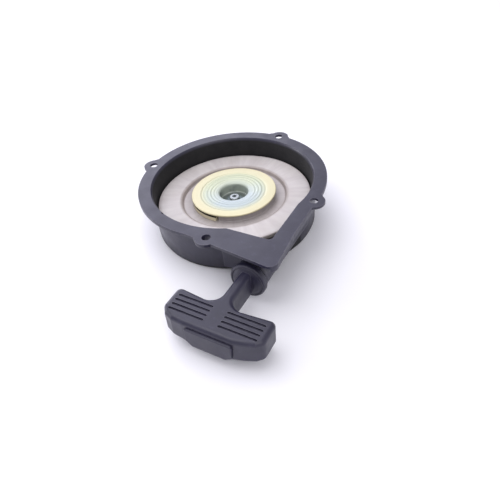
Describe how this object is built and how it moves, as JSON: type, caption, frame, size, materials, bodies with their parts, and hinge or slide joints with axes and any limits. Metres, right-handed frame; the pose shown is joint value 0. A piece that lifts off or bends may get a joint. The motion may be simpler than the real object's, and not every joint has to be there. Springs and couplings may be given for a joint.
{
  "type": "recoil starter",
  "caption": "Pull-rope recoil starter: open round flanged housing, nylon rope reel with pawl and friction plate, side rope outlet and T handle.",
  "frame": {"origin": "reel axis in the plane of the flange's engine face", "axes": "+Z along the reel axis toward the engine, -Y the way the rope is pulled"},
  "size_m": [0.1852, 0.2333, 0.043],
  "materials": {
    "black_shell": "satin moulded",
    "black_grip": "satin moulded",
    "white_nylon": "natural nylon",
    "yellow_zinc": "yellow passivated zinc",
    "zinc_steel": "bright zinc",
    "steel": "turned",
    "spring_steel": "blued strip",
    "bronze": "sintered",
    "rope": "braided nylon"
  },
  "bodies": {
    "case": {"housing": "black_shell", "center_post": "steel", "thrust_washer": "white_nylon", "spring_case": "zinc_steel", "recoil_spring": "spring_steel", "rope_guide": "steel", "screw_washer": "zinc_steel", "center_screw": "zinc_steel"},
    "reel": {"reel": "white_nylon", "reel_bush": "bronze", "rope_coil": "rope", "pawl_pin": "steel", "pawl_spring": "spring_steel"},
    "guide": {"friction_plate": "yellow_zinc", "friction_spring": "spring_steel"},
    "pawl": {"pawl": "yellow_zinc"},
    "handle": {"grip": "black_grip", "grip_cap": "black_grip", "knot_washer": "zinc_steel", "rope_knot": "rope", "rope_run": "rope"}
  },
  "joints": [
    {"name": "reel_spin", "type": "hinge", "parent": "case", "child": "reel", "pos_m": [0, 0, -0.024], "axis": [0, 0, -1], "range_deg": [0, 820], "stiffness_Nm_per_rad": 0.012, "springref_deg": -458.37, "deforming": ["recoil_spring"]},
    {"name": "handle_pull", "type": "slide", "parent": "case", "child": "handle", "axis": [0, -1, 0], "range_m": [0, 0.84], "deforming": ["rope_run"]},
    {"name": "guide_drag", "type": "hinge", "parent": "reel", "child": "guide", "pos_m": [0, 0, -0.018], "axis": [0, 0, 1], "range_deg": [0, 30], "stiffness_Nm_per_rad": 0.002, "springref_deg": -28.65},
    {"name": "pawl_swing", "type": "hinge", "parent": "reel", "child": "pawl", "pos_m": [-0.00165, -0.03156, -0.018], "axis": [0, 0, 1], "range_deg": [0, 12]}
  ],
  "couplings": [
    {"joint": "handle_pull", "follows": "reel_spin", "m_per_rad": 0.0585},
    {"joint": "pawl_swing", "follows": "guide_drag", "ratio": 0.4}
  ]
}
